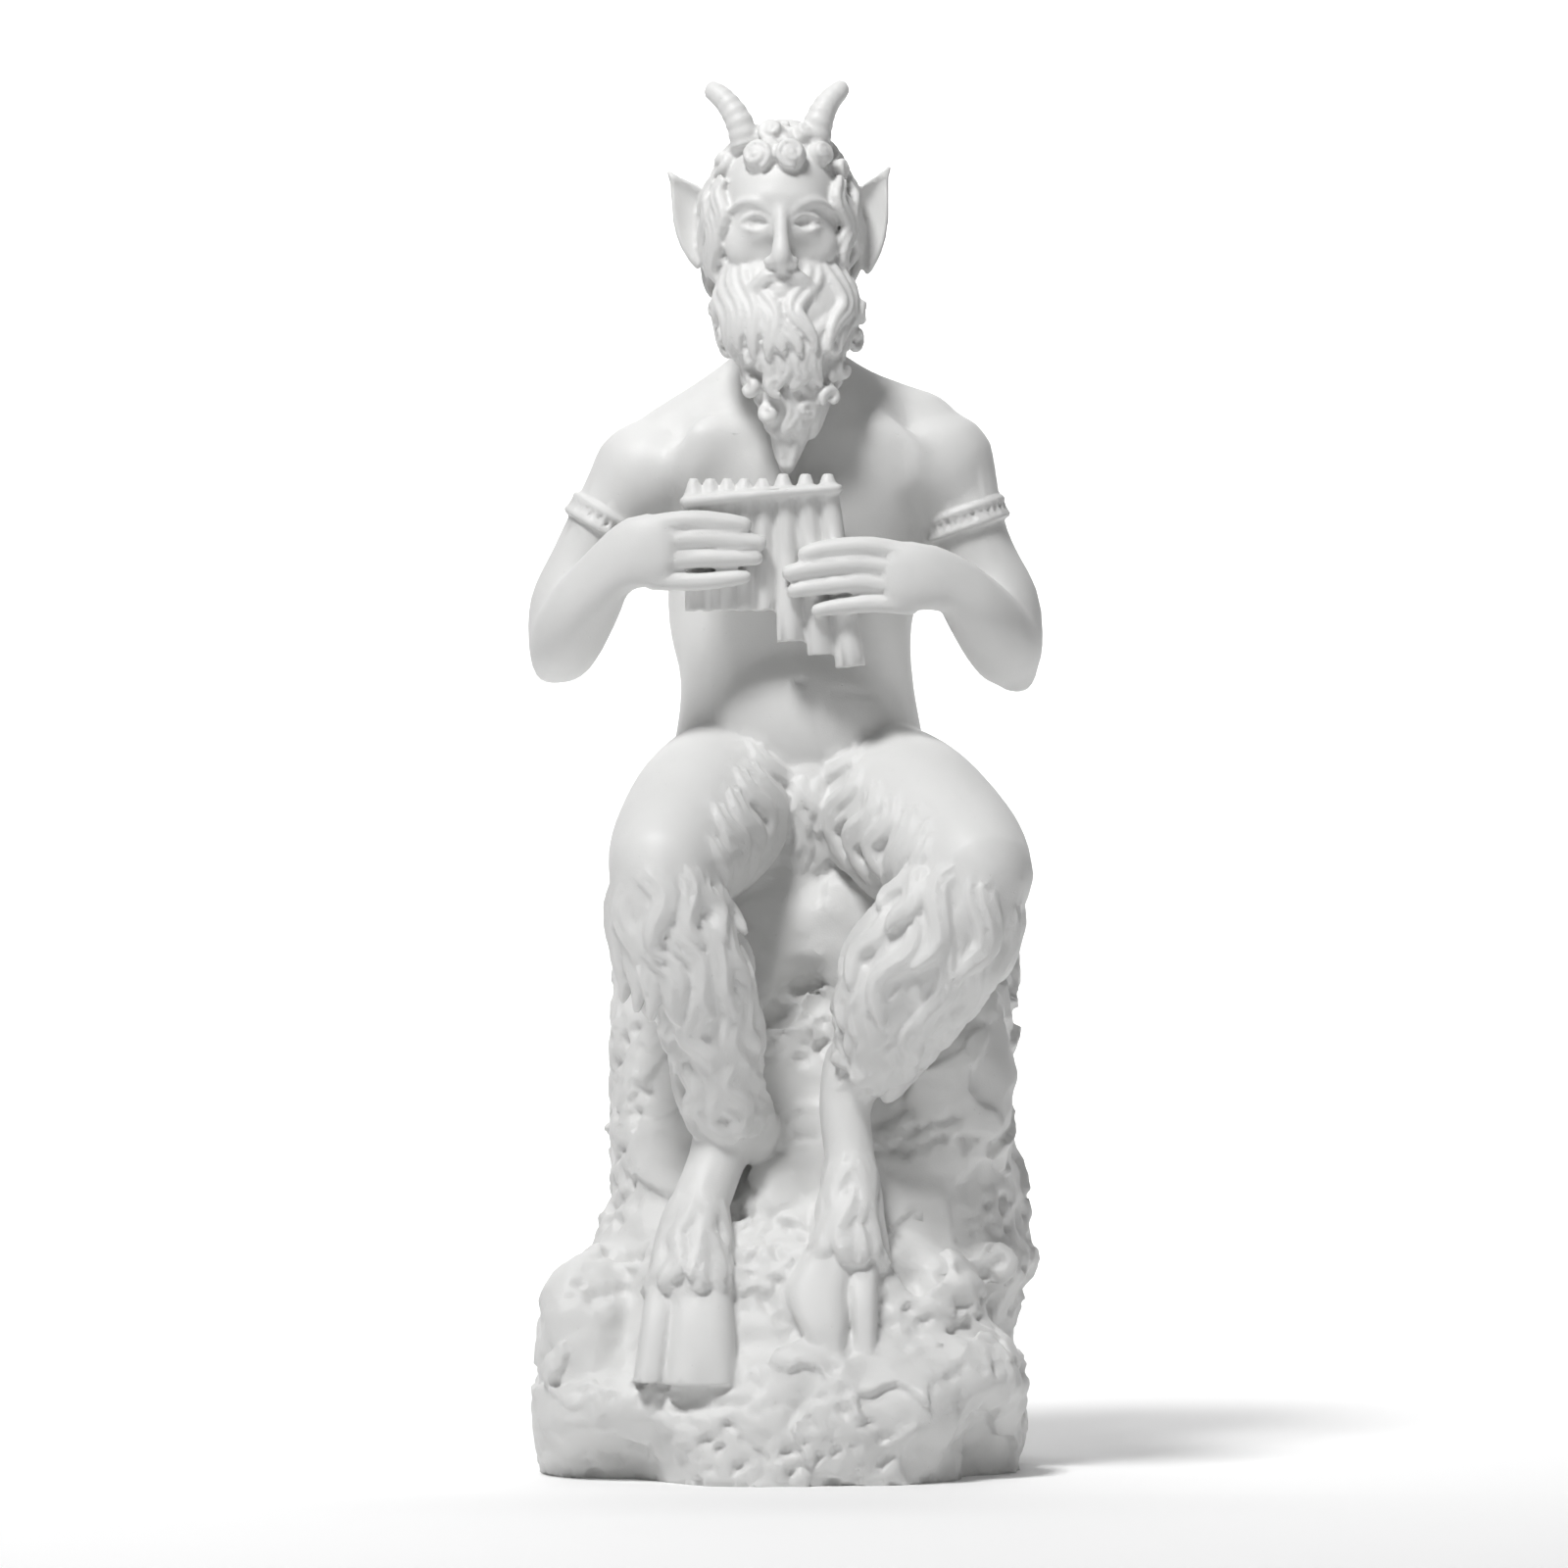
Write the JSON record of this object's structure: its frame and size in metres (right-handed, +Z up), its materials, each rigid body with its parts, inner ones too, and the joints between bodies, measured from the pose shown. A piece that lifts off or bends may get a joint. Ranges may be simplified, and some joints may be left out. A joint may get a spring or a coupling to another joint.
{
  "type": "pan statue",
  "caption": "Cast marble tabletop statue of a seated, horned and goat-legged Pan who holds reed pipes, on a rough rock.",
  "frame": {"origin": "on the flat underside, below the middle of the pictured figure", "axes": "+Z up, -Y the side that the figure faces, +X to the viewer's right"},
  "size_m": [0.1117, 0.1054, 0.2995],
  "materials": {
    "cast_marble": "white marble powder in resin, satin to matt, with fine mould pits"
  },
  "bodies": {
    "root": {"pan_statue": "cast_marble"}
  },
  "joints": []
}
